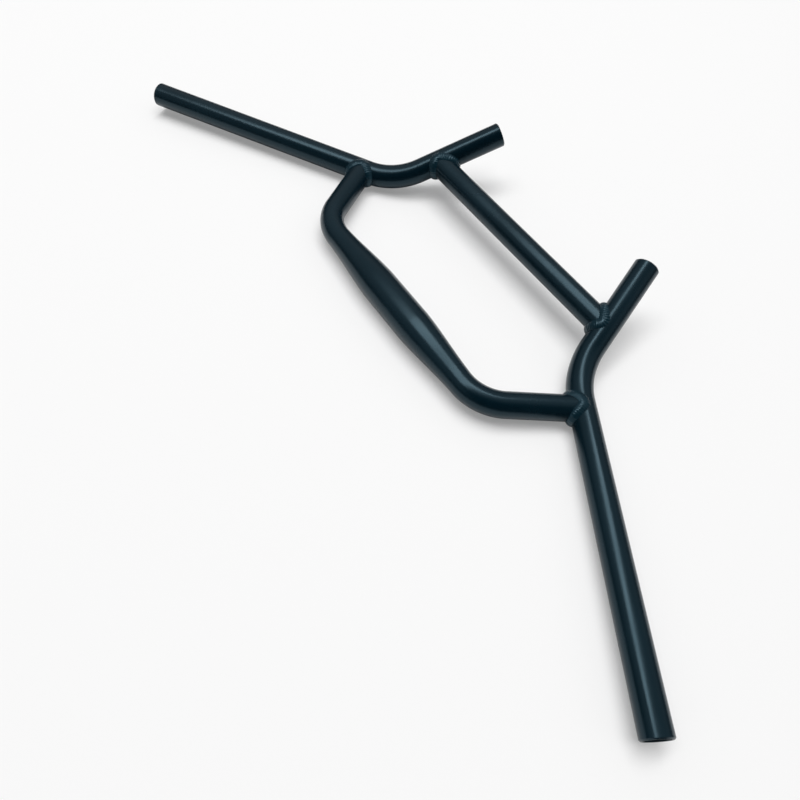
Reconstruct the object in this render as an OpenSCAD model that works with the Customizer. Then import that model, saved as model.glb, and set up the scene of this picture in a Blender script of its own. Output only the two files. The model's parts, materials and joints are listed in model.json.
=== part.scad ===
// Bicycle handlebar with backswept grips, forward horns, a looped clamp tube
// and a crossbar. Four tubes, welded at four joints.
// Millimetres. X runs along the bar, Y points forward to the horns, Z is up.
// The origin is the middle of the seat that a stem clamps.

/* [Tubes] */
// Outside diameter of the bar tubes, the crossbar and the legs
tube_d = 22.2; // [20:0.1:25.4]
// Wall of every tube
wall = 2; // [1.2:0.1:3]
// Bevel around the outside of an open tube end
end_bevel = 0.8; // [0.2:0.1:1]

/* [Grips] */
// Overall width of the bar
bar_w = 740; // [660:1:820]
// Backward sweep of the grips
grip_sweep = 32; // [20:0.5:45]
// Upward slope of the grips towards their ends
grip_rise = 1; // [-2:0.1:6]
// Length of the sized seat for a grip and levers, from the open end
grip_seat = 200; // [140:1:210]

/* [Horns] */
// Length of a horn, from the corner of the bend to its open end
horn_len = 112.5; // [100:0.5:150]
// Angle by which each horn turns inward
horn_toe = 19.5; // [10:0.5:28]
// Angle by which each horn rises
horn_rise = 22.5; // [10:0.5:30]
// Length of the sized seat at a horn's open end
horn_seat = 42; // [25:1:44]

/* [Bends] */
// Distance between the corners of the two bar tubes
corner_w = 269; // [250:1:300]
// How far the corners lie ahead of the clamp seat
corner_reach = 89; // [80:0.5:105]
// How far the corners lie below the middle of the clamp seat
corner_drop = 3.3; // [0:0.1:12]
// Centreline radius of the bend between grip and horn
bend_r = 69; // [50:1:85]

/* [Clamp tube] */
// Diameter of the seat that the stem clamps
clamp_d = 31.8; // [25.4:0.1:35]
// Length of the straight seat
clamp_len = 54; // [40:1:70]
// Length over which the tube narrows, on each side of the seat
taper_len = 66; // [50:1:70]
// Distance between the corners where the clamp tube turns forward
leg_w = 233; // [228:1:250]
// Centreline radius of those two bends
leg_bend_r = 42; // [32:1:44]
// Where a leg meets the grip, measured from the corner of the bar tube
leg_at = 34.5; // [30:0.5:45]

/* [Crossbar] */
// Where the crossbar meets a horn, measured from the corner of the bar tube
cross_at = 47; // [44:0.5:60]

/* [Welds] */
// Width of a weld bead's foot on each tube
bead_leg = 5.2; // [3.5:0.1:6]
// Height of the bead over the flat between its feet
bead_crown = 0.9; // [0.4:0.1:1.5]
// Depth of the ripples in a bead
ripple_depth = 0.35; // [0:0.05:0.6]
// Ripples around a joint
ripples = 31; // [20:1:36]
// Root gap between a fitted tube end and the tube that it meets
root_gap = 0.1; // [0.05:0.05:0.3]

/* [Hidden] */
$fn = 96;

tube_r = tube_d / 2;
bore_r = tube_r - wall;
clamp_r = clamp_d / 2;

// Clearance that keeps a bead's faces just off the round tubes
bead_clear = 0.06;
// How much slimmer a tube is in its bends, and the length of the cone that leads there
bend_slim = 0.04;
seam = 0.4;
// How far a sized seat stands proud of the tube behind it, and the length of the cone between
seat_step = 0.02;
seat_lead = 1;
// Steps along one ripple, across a foot and across the crown of a bead
ripple_steps = 3;
foot_steps = 3;
crown_steps = 6;

function unit(v) = v / norm(v);

// The right bar tube, with the grip and the horn pointing away from its corner
corner = [corner_w / 2, corner_reach, -corner_drop];
grip_dir = [cos(grip_sweep) * cos(grip_rise), -sin(grip_sweep) * cos(grip_rise), sin(grip_rise)];
horn_dir = [-sin(horn_toe) * cos(horn_rise), cos(horn_toe) * cos(horn_rise), sin(horn_rise)];
// The outermost point of a bevelled end lies this far beyond the end's middle
end_slant = sqrt(1 - grip_dir.x * grip_dir.x);
end_reach = max((tube_r - end_bevel) * end_slant, tube_r * end_slant - end_bevel * grip_dir.x);
grip_len = (bar_w / 2 - end_reach - corner.x) / grip_dir.x;

// The clamp tube turns at leg_corner and runs to leg_end on the grip's axis
leg_corner = [leg_w / 2, 0, 0];
leg_end = corner + leg_at * grip_dir;
leg_dir = unit(leg_end - leg_corner);
leg_len = norm(leg_end - leg_corner);

cross_end = corner + cross_at * horn_dir;

// A bend between two straight runs that leave a corner along a and b is held as
// [centre, side, travel, normal, turn, tangent length, radius]
function bend(p, a, b, r) =
    let (turn = acos(-a * b),
         tangent = r * tan(turn / 2),
         centre = p + unit(a + b) * r / cos(turn / 2),
         side = unit(p + a * tangent - centre))
    [centre, side, -a, cross(side, -a), turn, tangent, r];

bar_bend = bend(corner, grip_dir, horn_dir, bend_r);
leg_bend = bend(leg_corner, [-1, 0, 0], leg_dir, leg_bend_r);

// Coordinates of a point seen from a bend's own axes
function local(p, k) = [(p - k[0]) * k[1], (p - k[0]) * k[2], (p - k[0]) * k[3]];

// Nearest point of the right bar tube's centreline
function nearest(p) =
    let (q = local(p, bar_bend),
         at = atan2(q.y, q.x))
    at < 0 || at > 180 + bar_bend[4] / 2 ? corner + ((p - corner) * grip_dir) * grip_dir
    : at > bar_bend[4] ? corner + ((p - corner) * horn_dir) * horn_dir
    : bar_bend[0] + bend_r * (cos(at) * bar_bend[1] + sin(at) * bar_bend[2]);

// Puts children, drawn in a bend's own axes, in place
module in_bend(k)
    multmatrix([for (i = [0:2]) [k[1][i], k[2][i], k[3][i], k[0][i]]]) children();

module both_sides() {
    children();
    mirror([1, 0, 0]) children();
}

// The arc of a bend, drawn a touch slimmer than the straight runs, as bending does
module arc_rod(k, r)
    in_bend(k) rotate_extrude(angle = k[4]) translate([k[6], 0]) circle(r = r - bend_slim);

// A straight run, with the cone that sinks into the bend before it, and a sized
// seat at its open end if it has one
module run(r, h, seat) {
    plain = seat > 0 ? r - seat_step : r;
    rotate_extrude() polygon(concat(
        [[0, -seam], [plain - 2 * bend_slim, -seam], [plain, 0]],
        seat > 0 ? [[plain, h - seat - seat_lead], [r, h - seat]] : [],
        [[r, h], [0, h]]));
}

// A straight run from the far end of a bend's arc, and one into its near end
module run_out(k, r, h, seat = 0)
    in_bend(k) rotate([0, 0, k[4]]) translate([k[6], 0, 0]) rotate([-90, 0, 0]) run(r, h, seat);
module run_in(k, r, h, seat = 0)
    in_bend(k) translate([k[6], 0, 0]) rotate([90, 0, 0]) run(r, h, seat);

// A round rod that runs straight, bends and runs straight again
module bent_rod(k, r, run_a, run_b, seat_a = 0, seat_b = 0) {
    run_in(k, r, run_a, seat_a);
    arc_rod(k, r);
    run_out(k, r, run_b, seat_b);
}

// What an open tube end loses: a bevel outside and a light one inside
module end_bevels() {
    difference() {
        translate([0, 0, -end_bevel]) cylinder(r = tube_r + 1, h = end_bevel + 1);
        translate([0, 0, -end_bevel]) cylinder(r1 = tube_r, r2 = tube_r - end_bevel, h = end_bevel);
    }
    translate([0, 0, -end_bevel / 2])
        cylinder(r1 = bore_r, r2 = bore_r + end_bevel / 2, h = end_bevel / 2);
}

grip_run = grip_len - bar_bend[5];
horn_run = horn_len - bar_bend[5];

module bar_tube()
    difference() {
        bent_rod(bar_bend, tube_r, grip_run, horn_run, grip_seat, horn_seat);
        bent_rod(bar_bend, bore_r, grip_run + 1, horn_run + 1);
        in_bend(bar_bend) {
            translate([bend_r, -grip_run, 0]) rotate([90, 0, 0]) end_bevels();
            rotate([0, 0, bar_bend[4]]) translate([bend_r, horn_run, 0]) rotate([-90, 0, 0]) end_bevels();
        }
    }

// The space that both bar tubes take up, with the root gap around them
module bar_tube_room()
    both_sides() bent_rod(bar_bend, tube_r + root_gap, grip_run, horn_run);

// Radius of the clamp tube at a distance from its middle
taper_steps = 14;
half_seat = clamp_len / 2;
function ease(t) = (t + t * t * (3 - 2 * t)) / 2;
function clamp_tube_r(t) = clamp_r + (tube_r - clamp_r) * ease(t);
straight_end = leg_corner.x - leg_bend[5];

// Half of the swaged middle, as [distance from the middle, radius]
half_swage = concat(
    [for (i = [0:taper_steps]) [half_seat + taper_len * i / taper_steps, clamp_tube_r(i / taper_steps)]],
    [[straight_end, tube_r], [straight_end + seam, tube_r - 2 * bend_slim]]);

module swage(thinner)
    rotate([0, 90, 0]) rotate_extrude()
        polygon(concat(
            [for (q = half_swage) [q[1] - thinner, q[0]]],
            [[0, straight_end + seam], [0, -straight_end - seam]],
            [for (i = [len(half_swage) - 1:-1:0]) [half_swage[i][1] - thinner, -half_swage[i][0]]]));

module clamp_tube()
    difference() {
        clamp_rod(0);
        clamp_rod(wall);
        bar_tube_room();
    }

module clamp_rod(thinner) {
    swage(thinner);
    both_sides() {
        arc_rod(leg_bend, tube_r - thinner);
        run_out(leg_bend, tube_r - thinner, leg_len - leg_bend[5]);
    }
}

module crossbar()
    difference() {
        translate([-cross_end.x, cross_end.y, cross_end.z]) rotate([0, 90, 0])
            difference() {
                cylinder(r = tube_r, h = 2 * cross_end.x);
                translate([0, 0, -1]) cylinder(r = bore_r, h = 2 * cross_end.x + 2);
            }
        bar_tube_room();
    }

// A weld bead runs around the saddle where a tube ends on the right bar tube.
// joint is [point on the bar tube's axis, direction of the other tube, its first
// side, its second side].
function joint(p, dir, along) =
    let (first = unit(along - (along * dir) * dir))
    [p, dir, first, cross(dir, first)];

function around(j, at) = cos(at) * j[2] + sin(at) * j[3];

// Distance along the tube at which its surface leaves the bar tube
function saddle(j, at, low = 0, high = 40, n = 18) =
    let (mid = (low + high) / 2,
         p = j[0] + tube_r * around(j, at) + mid * j[1])
    n == 0 ? p
    : norm(p - nearest(p)) < tube_r + root_gap ? saddle(j, at, mid, high, n - 1)
    : saddle(j, at, low, mid, n - 1);

// Frame of the bead's section: root, both normals, and the way that each foot runs
function section(j, at) =
    let (root = saddle(j, at),
         way = unit(saddle(j, at + 0.5) - saddle(j, at - 0.5)),
         n_tube = around(j, at),
         n_bar = unit(root - nearest(root)),
         up = unit(cross(way, n_tube)),
         sign = up * j[1] > 0 ? 1 : -1)
    [root, n_tube, n_bar, sign * up, -sign * unit(cross(way, n_bar))];

// Drops a point on the clearance surface of the tube, or of the bar tube
function on_tube(j, p) =
    let (axial = (p - j[0]) * j[1] * j[1])
    j[0] + axial + (tube_r + bead_clear) * unit(p - j[0] - axial);
function on_bar(p) = let (c = nearest(p)) c + (tube_r + bead_clear) * unit(p - c);

// The crown stands higher where the two surfaces lie flat beside each other
function crown(s) = bead_crown * (1 + (1 - s[3] * s[4]) / 2 * (1 - s[3] * s[4]) / 2);

// One ring of the bead: along the foot on the tube, the root, the foot on the
// bar tube, and back over the crown, where the rings bow forward as ripples do
function bead_ring(j, i, pitch) =
    let (at = i * pitch / ripple_steps,
         s = section(j, at),
         ripple = ripple_depth * (i % ripple_steps == 0 ? 0 : 1))
    concat(
        [for (k = [foot_steps:-1:1]) on_tube(j, s[0] + bead_leg * k / foot_steps * s[3])],
        [s[0] + bead_clear * unit(s[1] + s[2])],
        [for (k = [1:foot_steps]) on_bar(s[0] + bead_leg * k / foot_steps * s[4])],
        [for (k = [crown_steps - 1:-1:1])
            let (t = k / crown_steps,
                 arch = 4 * t * (1 - t),
                 v = section(j, at + 0.9 * pitch * arch),
                 foot_a = on_tube(j, v[0] + bead_leg * v[3]),
                 foot_b = on_bar(v[0] + bead_leg * v[4]))
            foot_a * (1 - t) + foot_b * t + (crown(v) + ripple) * arch * unit(v[1] + v[2])]);

module bead(j) {
    pitch = 360 / ripples;
    rings = ripples * ripple_steps;
    per = 2 * foot_steps + crown_steps;
    function id(i, k) = (i % rings) * per + k % per;
    polyhedron(
        points = [for (i = [0:rings - 1]) each bead_ring(j, i, pitch)],
        faces = [for (i = [0:rings - 1], k = [0:per - 1])
            each [[id(i, k), id(i, k + 1), id(i + 1, k)], [id(i, k + 1), id(i + 1, k + 1), id(i + 1, k)]]]);
}

leg_joint = joint(leg_end, -leg_dir, grip_dir);
cross_joint = joint(cross_end, [-1, 0, 0], horn_dir);

module left_bar_tube() color("#1b2428") mirror([1, 0, 0]) bar_tube();
module right_bar_tube() color("#1b2428") bar_tube();
module left_leg_weld() color("#232d31") mirror([1, 0, 0]) bead(leg_joint);
module right_leg_weld() color("#232d31") bead(leg_joint);
module left_crossbar_weld() color("#232d31") mirror([1, 0, 0]) bead(cross_joint);
module right_crossbar_weld() color("#232d31") bead(cross_joint);

left_bar_tube();
right_bar_tube();
color("#1b2428") clamp_tube();
color("#1b2428") crossbar();
left_leg_weld();
right_leg_weld();
left_crossbar_weld();
right_crossbar_weld();
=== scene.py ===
import bpy
import json
import math
from mathutils import Matrix, Vector

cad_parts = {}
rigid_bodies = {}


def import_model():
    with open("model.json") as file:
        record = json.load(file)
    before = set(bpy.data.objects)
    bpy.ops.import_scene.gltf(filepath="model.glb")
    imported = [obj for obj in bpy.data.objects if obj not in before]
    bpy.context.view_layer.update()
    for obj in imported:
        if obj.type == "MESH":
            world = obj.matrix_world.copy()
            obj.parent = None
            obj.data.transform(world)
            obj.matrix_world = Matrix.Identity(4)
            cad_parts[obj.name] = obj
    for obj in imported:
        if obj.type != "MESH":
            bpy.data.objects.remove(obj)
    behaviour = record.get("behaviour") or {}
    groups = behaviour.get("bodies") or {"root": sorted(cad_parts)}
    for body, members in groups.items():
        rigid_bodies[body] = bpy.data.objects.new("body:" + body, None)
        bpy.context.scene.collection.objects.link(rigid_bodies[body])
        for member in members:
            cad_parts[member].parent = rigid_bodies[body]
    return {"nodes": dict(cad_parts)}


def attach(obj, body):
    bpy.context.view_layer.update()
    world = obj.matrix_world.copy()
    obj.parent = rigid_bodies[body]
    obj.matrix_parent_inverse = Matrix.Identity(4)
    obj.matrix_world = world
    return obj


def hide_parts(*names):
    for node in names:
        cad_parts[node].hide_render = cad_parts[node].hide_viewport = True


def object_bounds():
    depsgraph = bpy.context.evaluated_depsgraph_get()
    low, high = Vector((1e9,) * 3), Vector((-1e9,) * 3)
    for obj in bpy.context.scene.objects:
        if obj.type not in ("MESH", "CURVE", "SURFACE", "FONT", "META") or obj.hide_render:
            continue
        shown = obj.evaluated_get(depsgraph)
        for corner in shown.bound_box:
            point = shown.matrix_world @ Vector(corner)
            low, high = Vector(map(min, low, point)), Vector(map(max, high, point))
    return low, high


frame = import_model()
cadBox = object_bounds()
floorLevel = cadBox[0].z  # the clamp seat lies on the floor, and the leg welds all but touch it
mm = 0.001
rightward, leftward = Vector((1, 0, 0)), Vector((-1, 0, 0))
print("frame loaded:", len(frame["nodes"]), "nodes")

# Camera, at the place the picture was taken from
photoCamera = {
    "place": (284.9, -229.1, 431.3),  # mm from the middle of the clamp seat
    "azimuth": 48.83,
    "elevation": 57.90,  # how far it looks down
    "roll": 8.19,
    "lens": 29.25,  # mm
    "sensor": 36,  # mm wide
}


def addCamera(c):
    bpy.ops.object.camera_add(location=Vector(c["place"]) * mm)
    camera = bpy.context.object
    turn = (Matrix.Rotation(math.radians(c["azimuth"]), 4, "Z")
            @ Matrix.Rotation(math.radians(90 - c["elevation"]), 4, "X")
            @ Matrix.Rotation(math.radians(c["roll"]), 4, "Z"))
    camera.rotation_euler = turn.to_euler()
    camera.data.lens = c["lens"]
    camera.data.sensor_width = c["sensor"]
    bpy.context.scene.camera = camera


addCamera(photoCamera)
print("camera placed")

# Sizes that all the tubes share, in mm and degrees
tubing = {
    "outside": 22.2,
    "wall": 2.0,
    "sides": 96,  # flats around a tube, too fine to see once shaded
    "rootGap": 0.1,  # between a fitted end and the tube it meets
    "smoothTo": 30,  # degrees; the edges of an open end are sharper and stay crisp
}

# One bar tube: a straight grip, a bend and a horn. The grip sweeps back and the horn points
# forward and up, and their middle lines would cross at the corner
barShape = {
    "width": 740,  # over both grip ends
    "sweep": 32,  # how far the grip turns back from straight out
    "gripRise": 1,
    "hornLength": 112.5,  # from the corner
    "hornToe": 19.5,  # how far the horn turns in from straight ahead
    "hornRise": 22.5,
    "cornerGap": 269,  # from the left corner to the right one
    "cornerReach": 89,  # ahead of the clamp seat's middle line
    "cornerDrop": 3.3,  # and below it
    "bendRadius": 69,
    "bendSteps": 36,
    "endBevel": 0.8,  # the solid's bevel, which sets how far the slanted end reaches
    "rimBevel": 1.0,  # flat, so that it shows as a dark line round each end
    "boreRounding": 0.4,
    "boreSegments": 4,
}

# The looped clamp tube: a thick seat in the middle, a taper on each side, a bend and a leg
loopShape = {
    "seat": 31.8,
    "seatLength": 54,
    "taperLength": 66,
    "taperSteps": 24,
    "cornerGap": 233,  # from one leg's corner to the other's
    "bendRadius": 42,
    "bendSteps": 40,
    "meetsAt": 34.5,  # along the grip, from the bar tube's corner
}
crossMeetsAt = 47  # where the crossbar meets the horn, from the bar tube's corner
tubeRadius = tubing["outside"] / 2


def direction(yaw, rise):
    y, r = math.radians(yaw), math.radians(rise)
    return Vector((math.cos(y) * math.cos(r), math.sin(y) * math.cos(r), math.sin(r)))


def bendBetween(corner, a, b, radius):
    # the arc that joins two straight runs leaving a corner along a and b
    turn = math.acos(-a.dot(b))
    tangent = radius * math.tan(turn / 2)
    centre = corner + (a + b).normalized() * radius / math.cos(turn / 2)
    side = (corner + a * tangent - centre).normalized()
    return {"centre": centre, "axis": side.cross(-a), "turn": turn, "tangent": tangent,
            "side": side, "travel": -a, "radius": radius}


barCorner = Vector((barShape["cornerGap"] / 2, barShape["cornerReach"], -barShape["cornerDrop"]))
gripWay = direction(-barShape["sweep"], barShape["gripRise"])
hornWay = direction(90 + barShape["hornToe"], barShape["hornRise"])
barBend = bendBetween(barCorner, gripWay, hornWay, barShape["bendRadius"])
slant = math.sqrt(1 - gripWay.x ** 2)
endReach = max((tubeRadius - barShape["endBevel"]) * slant,
               tubeRadius * slant - barShape["endBevel"] * gripWay.x)
gripLength = (barShape["width"] / 2 - endReach - barCorner.x) / gripWay.x
gripEnd = barCorner + gripWay * gripLength
hornEnd = barCorner + hornWay * barShape["hornLength"]

loopCorner = Vector((loopShape["cornerGap"] / 2, 0, 0))
loopEnd = barCorner + gripWay * loopShape["meetsAt"]
legWay = (loopEnd - loopCorner).normalized()
loopBend = bendBetween(loopCorner, leftward, legWay, loopShape["bendRadius"])
crossEnd = barCorner + hornWay * crossMeetsAt


# Small helpers for modelling
def deselectAll():
    for thing in bpy.context.view_layer.objects.selected:
        thing.select_set(False)


def pick(piece):
    deselectAll()
    piece.select_set(True)
    bpy.context.view_layer.objects.active = piece


def unpick(piece, kind):
    # nothing of the piece stays selected, and edit mode will select by this kind
    pick(piece)
    bpy.ops.object.mode_set(mode="EDIT")
    bpy.ops.mesh.select_mode(type=kind)
    bpy.ops.mesh.select_all(action="DESELECT")
    bpy.ops.object.mode_set(mode="OBJECT")


def editFaces(piece, wanted):
    # enters edit mode with the faces selected that wanted(face) names
    unpick(piece, "FACE")
    for face in piece.data.polygons:
        face.select = wanted(face)
    bpy.ops.object.mode_set(mode="EDIT")


def editEdges(piece, wanted):
    # the same for the edges that wanted(one end, other end) names
    unpick(piece, "EDGE")
    corners = piece.data.vertices
    for edge in piece.data.edges:
        edge.select = wanted(*[corners[i].co for i in edge.vertices])
    bpy.ops.object.mode_set(mode="EDIT")


def applyPlace(piece):
    pick(piece)
    bpy.ops.object.transform_apply(location=True, rotation=True, scale=True)


def applyModifier(piece, kind, **settings):
    pick(piece)
    bpy.ops.object.modifier_add(type=kind)
    modifier = piece.modifiers[-1]
    for name, value in settings.items():
        setattr(modifier, name, value)
    bpy.ops.object.modifier_apply(modifier=modifier.name)


def turnOutward(piece):
    pick(piece)
    bpy.ops.object.mode_set(mode="EDIT")
    bpy.ops.mesh.select_all(action="SELECT")
    bpy.ops.mesh.remove_doubles(threshold=0.005 * mm)
    bpy.ops.mesh.normals_make_consistent(inside=False)
    bpy.ops.object.mode_set(mode="OBJECT")


def copyOf(piece, name):
    pick(piece)
    bpy.ops.object.duplicate()
    made = bpy.context.object
    made.name = name
    return made


def mirrored(piece, name):
    # the left one of a pair, with its own mesh
    made = copyOf(piece, name)
    made.scale.x = -1
    applyPlace(made)
    turnOutward(made)
    return made


def straightRod(name, start, way, length, radius):
    # a round bar of one tube's section, laid from start along way
    bpy.ops.mesh.primitive_cylinder_add(
        vertices=tubing["sides"], radius=radius * mm, depth=length * mm, end_fill_type="NGON",
        location=(start + way * length / 2) * mm, rotation=way.to_track_quat("Z", "Y").to_euler())
    rod = bpy.context.object
    rod.name = name
    applyPlace(rod)
    return rod


def facing(way):
    # picks the end face that looks along way
    return lambda face: face.normal.dot(way) > 0.99


def isCap(face):
    return len(face.vertices) > 8  # only a rod's round end has so many corners


def pushFace(way, distance):
    bpy.ops.mesh.extrude_region_move(TRANSFORM_OT_translate={"value": way * distance * mm})


def spinFace(bend, steps):
    bpy.ops.mesh.spin(steps=steps, angle=-bend["turn"], center=bend["centre"] * mm,
                      axis=bend["axis"])


def bentBarRod(name, radius):
    # the grip's straight run, spun round the bend and drawn out into the horn
    rod = straightRod(name, gripEnd, -gripWay, gripLength - barBend["tangent"], radius)
    editFaces(rod, facing(-gripWay))
    spinFace(barBend, barShape["bendSteps"])
    pushFace(hornWay, barShape["hornLength"] - barBend["tangent"])
    bpy.ops.object.mode_set(mode="OBJECT")
    return rod


def openEnds(piece):
    editFaces(piece, isCap)
    bpy.ops.mesh.delete(type="ONLY_FACE")
    bpy.ops.object.mode_set(mode="OBJECT")


def addWall(piece):
    # the skin gets its wall inwards, so the outside keeps its size
    applyModifier(piece, "SOLIDIFY", thickness=tubing["wall"] * mm, offset=-1,
                  use_even_offset=True)


def bevelRim(piece, centre, way, radius, width, segments):
    # takes the corner off one ring of edges at an open end
    slack = 0.05  # mm

    def onRing(*ends):
        for end in ends:
            reach = end / mm - centre
            depth = reach.dot(way)
            if abs(depth) >= slack or abs((reach - way * depth).length - radius) >= slack:
                return False
        return True

    editEdges(piece, onRing)
    bpy.ops.mesh.bevel(offset=width * mm, segments=segments, profile=0.5, offset_type="OFFSET")
    bpy.ops.object.mode_set(mode="OBJECT")


def finishOpenTube(piece, side):
    # side is 1 for the right tube and -1 for the left
    openEnds(piece)
    addWall(piece)
    for end, way in ((gripEnd, gripWay), (hornEnd, hornWay)):
        centre = Vector((end.x * side, end.y, end.z))
        outWay = Vector((way.x * side, way.y, way.z))
        bevelRim(piece, centre, outWay, tubeRadius, barShape["rimBevel"], 1)
        bevelRim(piece, centre, outWay, tubeRadius - tubing["wall"],
                 barShape["boreRounding"], barShape["boreSegments"])


# The two bar tubes, and the rods that fish-mouth the ends of the other tubes
rightBar = bentBarRod("rightBarTube", tubeRadius)
leftBar = mirrored(rightBar, "leftBarTube")
finishOpenTube(rightBar, 1)
finishOpenTube(leftBar, -1)
rightCutter = bentBarRod("rightCutter", tubeRadius + tubing["rootGap"])
leftCutter = mirrored(rightCutter, "leftCutter")
print("bar tubes bent:", len(rightBar.data.polygons), "faces each")


def ease(t):
    # the taper's profile, halfway between a straight cone and an S
    return (t + t * t * (3 - 2 * t)) / 2


# The right half of the clamp tube is drawn out from the seat, then mirrored
def drawLoop(s):
    seatRadius, halfSeat = s["seat"] / 2, s["seatLength"] / 2
    loop = straightRod("clampTube", Vector((0, 0, 0)), rightward, halfSeat, seatRadius)
    editFaces(loop, facing(rightward))
    now = seatRadius
    for step in range(1, s["taperSteps"] + 1):
        share = step / s["taperSteps"]
        target = seatRadius + (tubeRadius - seatRadius) * ease(share)
        pushFace(rightward, s["taperLength"] / s["taperSteps"])
        middle = Vector(((halfSeat + s["taperLength"] * share) * mm, 0, 0))
        bpy.ops.transform.resize(value=(target / now,) * 3, center_override=middle)
        now = target
    straightEnd = loopCorner.x - loopBend["tangent"]
    pushFace(rightward, straightEnd - halfSeat - s["taperLength"])
    spinFace(loopBend, s["bendSteps"])
    pushFace(legWay, (loopEnd - loopCorner).length - loopBend["tangent"])
    bpy.ops.object.mode_set(mode="OBJECT")
    openEnds(loop)
    applyModifier(loop, "MIRROR", use_axis=(True, False, False), merge_threshold=0.01 * mm)
    addWall(loop)
    return loop


def cope(piece, cutters):
    # cuts the piece back to the cutters, as a fish mouth is cut into a tube's end
    for cutter in cutters:
        applyModifier(piece, "BOOLEAN", operation="DIFFERENCE", solver="MANIFOLD", object=cutter)


clampTube = drawLoop(loopShape)
cope(clampTube, (rightCutter, leftCutter))
crossbar = straightRod("crossTube", Vector((-crossEnd.x, crossEnd.y, crossEnd.z)), rightward,
                       2 * crossEnd.x, tubeRadius)
openEnds(crossbar)
addWall(crossbar)
cope(crossbar, (rightCutter, leftCutter))
print("clamp tube and crossbar coped:", len(clampTube.data.polygons),
      len(crossbar.data.polygons), "faces")

# The fillet welds: one ripple, copied around the saddle, fused and cut back to the tubes
bead = {
    "foot": 4.5,  # mm, width of the bead on each tube
    "crown": 0.8,  # height over the flat between its feet
    "ripples": 48,
    "rippleLength": 2.2,  # half of one ripple, along the bead
    "rippleDepth": 2.3,  # half of one ripple, through the bead
    "lean": 16,  # degrees that each ripple leans back on the one before
    "inside": 0.86,  # share of a ripple's width that lies between the feet
    "fillBelow": 0.95,  # in a tight corner, where half the bead is under this share of its foot,
    "fillSize": 2.2,  # a lower lump fills the root: half its length and depth
    "fillWidth": 0.75,  # and its width, as a share of the distance between the feet
    "voxel": 0.2,
    "clearance": 0.04,  # mm to the painted tubes
    "reach": 40,  # mm back along the fitted tube, past any point of the saddle
    "smoothTo": 60,  # degrees, up to which two faces are shaded as one
}
neighbourWeights = ((-2, 1), (-1, 2), (0, 3), (1, 2), (2, 1))  # places away along the bead, weight


def nearestOnBar(p):
    # nearest point of the right bar tube's centreline
    q = p - barBend["centre"]
    at = math.atan2(q.dot(barBend["travel"]), q.dot(barBend["side"]))
    if at < 0:
        return barCorner + gripWay * (p - barCorner).dot(gripWay)
    if at > barBend["turn"]:
        return barCorner + hornWay * (p - barCorner).dot(hornWay)
    outFromBend = math.cos(at) * barBend["side"] + math.sin(at) * barBend["travel"]
    return barBend["centre"] + barBend["radius"] * outFromBend


def saddlePoint(joint, at):
    # where the fitted tube's surface leaves the bar tube's
    around = math.cos(at) * joint["first"] + math.sin(at) * joint["second"]
    low, high = 0.0, bead["reach"]
    for _ in range(22):  # each round halves what is left, down to far below a micrometre
        middle = (low + high) / 2
        p = joint["start"] + tubeRadius * around + middle * joint["way"]
        if (p - nearestOnBar(p)).length < tubeRadius + tubing["rootGap"]:
            low = middle
        else:
            high = middle
    return p, around


def beadSection(joint, at):
    # the bead's middle at one place around the joint, with its ways across and outwards
    root, onTube = saddlePoint(joint, at)
    nudge = 0.01  # radians
    along = (saddlePoint(joint, at + nudge)[0] - saddlePoint(joint, at - nudge)[0]).normalized()
    onBar = (root - nearestOnBar(root)).normalized()
    upTube = along.cross(onTube).normalized()
    if upTube.dot(joint["way"]) < 0:
        upTube.negate()
    overBar = along.cross(onBar).normalized()
    apart = overBar.dot(onTube)
    tooCloseToTell = 0.02
    if apart < -tooCloseToTell or (abs(apart) <= tooCloseToTell and overBar.dot(upTube) > 0):
        overBar.negate()

    def ontoTube(p, middle):
        return middle + (p - middle).normalized() * tubeRadius

    tubeFoot = root + upTube * bead["foot"]
    axisPoint = joint["start"] + joint["way"] * (tubeFoot - joint["start"]).dot(joint["way"])
    tubeFoot = ontoTube(tubeFoot, axisPoint)
    barFoot = root + overBar * bead["foot"]
    barFoot = ontoTube(barFoot, nearestOnBar(barFoot))
    flat = (1 - upTube.dot(overBar)) / 2  # 1 where the tubes run on flat, and the bead stands higher
    out = (onTube + onBar).normalized()
    return {"middle": (tubeFoot + barFoot) / 2, "across": (barFoot - tubeFoot).normalized(),
            "half": (barFoot - tubeFoot).length / 2, "out": out,
            "crown": bead["crown"] * (1 + flat * flat), "root": root}


def evenedOut(sections):
    # a welder's hand rounds the two tips of the saddle: every section leans on its neighbours
    total = sum(w for _, w in neighbourWeights)
    evened = []
    for i in range(len(sections)):
        near = [(sections[(i + k) % len(sections)], w) for k, w in neighbourWeights]
        s = {key: sum((n[key] * w for n, w in near), Vector()) / total
             for key in ("middle", "across", "out", "root")}
        s.update({key: sum(n[key] * w for n, w in near) / total for key in ("half", "crown")})
        s["across"].normalize()
        evened.append(s)
    return evened


def layLump(lump, name, place, along, across, out):
    # one more lump, stretched to the three half-lengths given
    laid = copyOf(lump, name)
    axes = Matrix((along, across, out)).transposed()
    laid.matrix_world = Matrix.Translation(place * mm) @ axes.to_4x4()
    return laid


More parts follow.
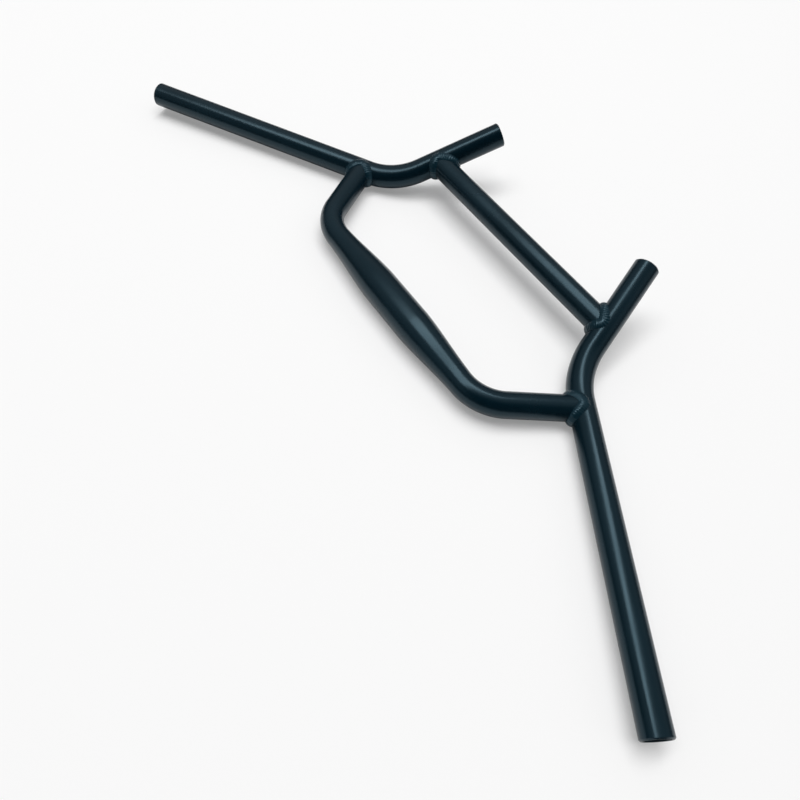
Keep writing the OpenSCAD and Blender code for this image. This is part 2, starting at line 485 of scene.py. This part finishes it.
def weld(name, start, way, firstSide):
    first = (firstSide - way * firstSide.dot(way)).normalized()
    joint = {"start": start, "way": way, "first": first, "second": way.cross(first)}
    bpy.ops.mesh.primitive_uv_sphere_add(segments=40, ring_count=20, radius=mm, location=(0, 0, 0))
    lump = bpy.context.object
    laid = []
    count = bead["ripples"]
    sections = [beadSection(joint, 2 * math.pi * i / count) for i in range(count)]
    for i, s in enumerate(evenedOut(sections)):
        across = s["across"]
        out = (s["out"] - across * s["out"].dot(across)).normalized()
        along = across.cross(out)
        uneven = 1 + 0.05 * math.sin(2.4 * i) + 0.03 * math.sin(5.1 * i + 1)  # as a hand lays them
        lean = Matrix.Rotation(math.radians(bead["lean"]), 3, across)
        along, out = lean @ along, lean @ out
        width = s["half"] / bead["inside"] * (0.98 + 0.02 * uneven)  # which varies far less
        place = s["middle"] + out * (s["crown"] * uneven - bead["rippleDepth"])
        laid.append(layLump(lump, name + "Ripple", place, along * bead["rippleLength"],
                            across * width, out * bead["rippleDepth"]))
        if s["half"] < bead["foot"] * bead["fillBelow"]:
            deep = (s["middle"] + s["root"]) / 2
            laid.append(layLump(lump, name + "Fill", deep, along * bead["fillSize"],
                                across * s["half"] * bead["fillWidth"], out * bead["fillSize"]))
    bpy.data.objects.remove(lump)
    deselectAll()
    for piece in laid:
        piece.select_set(True)
    bpy.context.view_layer.objects.active = laid[0]
    bpy.ops.object.join()
    made = bpy.context.object
    made.name = name
    applyPlace(made)
    applyModifier(made, "REMESH", mode="VOXEL", voxel_size=bead["voxel"] * mm)
    rods = [bentBarRod("beadCutter", tubeRadius + bead["clearance"]),
            straightRod("legCutter", start, way, bead["reach"], tubeRadius + bead["clearance"])]
    cope(made, rods)
    for rod in rods:
        bpy.data.objects.remove(rod)
    return made


rightLegWeld = weld("rightLegWeld", loopEnd, -legWay, gripWay)
rightCrossWeld = weld("rightCrossWeld", crossEnd, leftward, hornWay)
leftLegWeld = mirrored(rightLegWeld, "leftLegWeld")
leftCrossWeld = mirrored(rightCrossWeld, "leftCrossWeld")
for cutter in (rightCutter, leftCutter):
    bpy.data.objects.remove(cutter)
print("welds laid:", len(rightLegWeld.data.polygons), len(rightCrossWeld.data.polygons), "faces")

# Each piece under the name of the node that it takes the place of
pieces = {
    "left_bar_tube": leftBar,
    "right_bar_tube": rightBar,
    "clamp_tube": clampTube,
    "crossbar": crossbar,
    "left_leg_weld": leftLegWeld,
    "right_leg_weld": rightLegWeld,
    "left_crossbar_weld": leftCrossWeld,
    "right_crossbar_weld": rightCrossWeld,
}


# Materials
def linear(hexColour):
    # an sRGB hex value as the linear colour that a socket takes
    values = [int(hexColour[i:i + 2], 16) / 255 for i in (1, 3, 5)]
    return tuple(v / 12.92 if v <= 0.04045 else ((v + 0.055) / 1.055) ** 2.4 for v in values) + (1,)


def node(tree, kind, inputs=None, links=None, **settings):
    # adds one node with its settings, socket values and incoming links
    made = tree.nodes.new(kind)
    for name, value in settings.items():
        setattr(made, name, value)
    for socket, value in (inputs or {}).items():
        made.inputs[socket].default_value = value
    for socket, source in (links or {}).items():
        tree.links.new(source, made.inputs[socket])
    return made


def newMaterial(name):
    material = bpy.data.materials.new(name)
    material.use_nodes = True
    material.node_tree.nodes.clear()
    return material, material.node_tree


# Powder coat, sprayed on welded aluminium and baked to a satin black with a blue-green cast,
# which tints its gloss as well. The powder flows out into low waves about 1 mm across with a
# finer grain on top, which softens a highlight's edge without breaking it up. Sizes are in mm
powderCoat = {
    "colour": "#02131b",
    "thin": "#051b25",  # where the film is thinner
    "glossTint": "#b4dcee",
    "roughness": (0.22, 0.29),  # in the smoothest and the roughest patches
    "bump": 0.6,
    "waveSize": 1.1,
    "waveHeight": 0.01,
    "grainSize": 0.3,
    "grainHeight": 0.003,
    "cloudSize": 45,  # of the patches where the film is thicker or thinner
}
# Over the beads the same coat pulls thinner and flows out a little glossier. Its paler thin colour
# is partly that thinner film and partly a painted highlight, so that the beads look brighter where
# they catch the light
weldCoatWithPaintedHighlight = dict(powderCoat, thin="#12303c", roughness=(0.17, 0.24), bump=0.4)


def powderCoatMaterial(name, c):
    material, tree = newMaterial(name)
    place = node(tree, "ShaderNodeTexCoord")
    cloud = node(tree, "ShaderNodeTexNoise", {"Scale": 1 / (c["cloudSize"] * mm), "Detail": 3.0},
                 {"Vector": place.outputs["Object"]})
    wave = node(tree, "ShaderNodeTexNoise", {"Scale": 1 / (c["waveSize"] * mm), "Detail": 1.0},
                {"Vector": place.outputs["Object"]})
    grain = node(tree, "ShaderNodeTexNoise", {"Scale": 1 / (c["grainSize"] * mm), "Detail": 2.0},
                 {"Vector": place.outputs["Object"]})
    # a Mix node keeps its two colours in sockets 6 and 7, and gives the mixed one at output 2
    colour = node(tree, "ShaderNodeMix", {6: linear(c["colour"]), 7: linear(c["thin"])},
                  {"Factor": cloud.outputs["Fac"]}, data_type="RGBA")
    smoothest, roughest = c["roughness"]
    rough = node(tree, "ShaderNodeMapRange", {"From Min": 0.3, "From Max": 0.7,
                                              "To Min": smoothest, "To Max": roughest},
                 {"Value": cloud.outputs["Fac"]})
    low = node(tree, "ShaderNodeBump", {"Strength": c["bump"], "Distance": c["waveHeight"] * mm},
               {"Height": wave.outputs["Fac"]})
    fine = node(tree, "ShaderNodeBump", {"Strength": c["bump"], "Distance": c["grainHeight"] * mm},
                {"Height": grain.outputs["Fac"], "Normal": low.outputs["Normal"]})
    shader = node(tree, "ShaderNodeBsdfPrincipled",
                  {"IOR": 1.5, "Specular Tint": linear(c["glossTint"])},
                  {"Base Color": colour.outputs[2], "Roughness": rough.outputs["Result"],
                   "Normal": fine.outputs["Normal"]})
    node(tree, "ShaderNodeOutputMaterial", links={"Surface": shader.outputs["BSDF"]})
    return material


tubeCoat = powderCoatMaterial("satinPowderCoat", powderCoat)
# the welds' coat is paler than the tubes', partly as a painted highlight on the beads
paintedHighlightWeldCoat = powderCoatMaterial("powderCoatOverWeldPaintedHighlight", weldCoatWithPaintedHighlight)
for name, piece in pieces.items():
    isWeld = name.endswith("weld")
    piece.data.materials.clear()
    piece.data.materials.append(paintedHighlightWeldCoat if isWeld else tubeCoat)
    pick(piece)
    smoothTo = bead["smoothTo"] if isWeld else tubing["smoothTo"]
    bpy.ops.object.shade_smooth_by_angle(angle=math.radians(smoothTo))
    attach(piece, "root")
    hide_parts(name)
print("coat sprayed on", len(pieces), "pieces")

# Floor: a roll of matt white paper, which shows the bar's soft shadow
floorShape = {
    "size": 6000,  # mm
    "colour": "#fbfbfb",
    "lift": 0.25,  # how much whiter the paper looks to the camera than it is lit
    "fadeFrom": 1200,  # mm from its middle, where it starts to fade into the white behind
    "fadeTo": 2700,
}
bpy.ops.mesh.primitive_plane_add(size=floorShape["size"] * mm, location=(0, 0, floorLevel))
floor = bpy.context.object
floor.name = "floor"
floorPaper, tree = newMaterial("whitePaperRoll")
paper = node(tree, "ShaderNodeBsdfDiffuse", {"Color": linear(floorShape["colour"])})
white = node(tree, "ShaderNodeEmission", {"Color": linear("#ffffff"), "Strength": 1.0})
# to the camera alone the paper is a little whiter, as in a whitened catalogue picture
ray = node(tree, "ShaderNodeLightPath")
spot = node(tree, "ShaderNodeTexCoord")
distance = node(tree, "ShaderNodeVectorMath", links={0: spot.outputs["Object"]}, operation="LENGTH")
fade = node(tree, "ShaderNodeMapRange",
            {"From Min": floorShape["fadeFrom"] * mm, "From Max": floorShape["fadeTo"] * mm,
             "To Min": floorShape["lift"], "To Max": 1.0},
            {"Value": distance.outputs["Value"]}, interpolation_type="SMOOTHSTEP")
lift = node(tree, "ShaderNodeMath", operation="MULTIPLY",
            links={0: ray.outputs["Is Camera Ray"], 1: fade.outputs["Result"]})
look = node(tree, "ShaderNodeMixShader",
            links={0: lift.outputs["Value"], 1: paper.outputs["BSDF"], 2: white.outputs["Emission"]})
node(tree, "ShaderNodeOutputMaterial", links={"Surface": look.outputs["Shader"]})
floor.data.materials.append(floorPaper)
print("paper rolled out")

# Light: a broad panel almost overhead for the soft shadows, a strip lamp to its left that draws
# the streaks along the tubes, and a dim room. Angles are in degrees and lengths in mm, seen from
# the clamp seat: "toward" is the compass angle, "rise" the height and "away" the distance
lamps = {
    "ceilingPanel": {
        "toward": 75, "rise": 84, "away": 5000, "size": (3600, 3600), "power": 116,
        "mirrored": False,  # it is left out of the tubes' gloss, where it would widen the streaks
    },
    "stripLamp": {
        "toward": 178, "rise": 72, "away": 5000, "size": (5000, 1150), "power": 102,
        "mirrored": True,
    },
}
room = {
    "glow": 0.38,  # how bright the upper walls are
    "dark": 0.02,  # and the darkest parts
    "wallFoot": 0.05,  # sines of the heights where the walls start to brighten
    "wallTop": 0.6,  # and are at their brightest
    "darkToward": direction(-41, 45),  # a dark patch around the camera, where someone stands
    "darkFrom": 0.60,  # cosines of that patch's soft edge
    "darkTo": 0.92,
}


def addLamp(name, lamp):
    place = direction(lamp["toward"], lamp["rise"]) * lamp["away"] * mm
    bpy.ops.object.light_add(type="AREA", location=place)
    light = bpy.context.object
    light.name = name
    light.data.shape = "RECTANGLE"
    light.data.size = lamp["size"][0] * mm
    light.data.size_y = lamp["size"][1] * mm
    light.data.energy = lamp["power"]
    light.visible_glossy = lamp["mirrored"]
    light.rotation_euler = (-place).to_track_quat("-Z", "Y").to_euler()


def addRoom(r):
    world = bpy.data.worlds.new("room")
    bpy.context.scene.world = world
    world.use_nodes = True
    tree = world.node_tree
    tree.nodes.clear()
    look = node(tree, "ShaderNodeTexCoord").outputs["Generated"]

    def blend(way, low, high, first, last):
        # goes from first to last as the view turns towards way
        dot = node(tree, "ShaderNodeVectorMath", {1: way}, {0: look}, operation="DOT_PRODUCT")
        reach = {"From Min": low, "From Max": high, "To Min": first, "To Max": last}
        return node(tree, "ShaderNodeMapRange", reach, {"Value": dot.outputs["Value"]},
                    interpolation_type="SMOOTHSTEP").outputs["Result"]

    walls = blend((0, 0, 1), r["wallFoot"], r["wallTop"], 0, r["glow"])
    patch = blend(r["darkToward"], r["darkFrom"], r["darkTo"], 1, 0)
    lit = node(tree, "ShaderNodeMath", {2: r["dark"]}, {0: walls, 1: patch},
               operation="MULTIPLY_ADD")
    light = node(tree, "ShaderNodeBackground", {"Color": linear("#ffffff")},
                 {"Strength": lit.outputs["Value"]})
    # what the camera sees beyond the floor is plain white
    seen = node(tree, "ShaderNodeBackground", {"Color": linear("#ffffff"), "Strength": 1.0})
    ray = node(tree, "ShaderNodeLightPath")
    both = node(tree, "ShaderNodeMixShader",
                links={0: ray.outputs["Is Camera Ray"], 1: light.outputs["Background"],
                       2: seen.outputs["Background"]})
    node(tree, "ShaderNodeOutputWorld", links={"Surface": both.outputs["Shader"]})


for name, lamp in lamps.items():
    addLamp(name, lamp)
addRoom(room)
bpy.context.scene.view_settings.view_transform = "Standard"
print("stage lit")
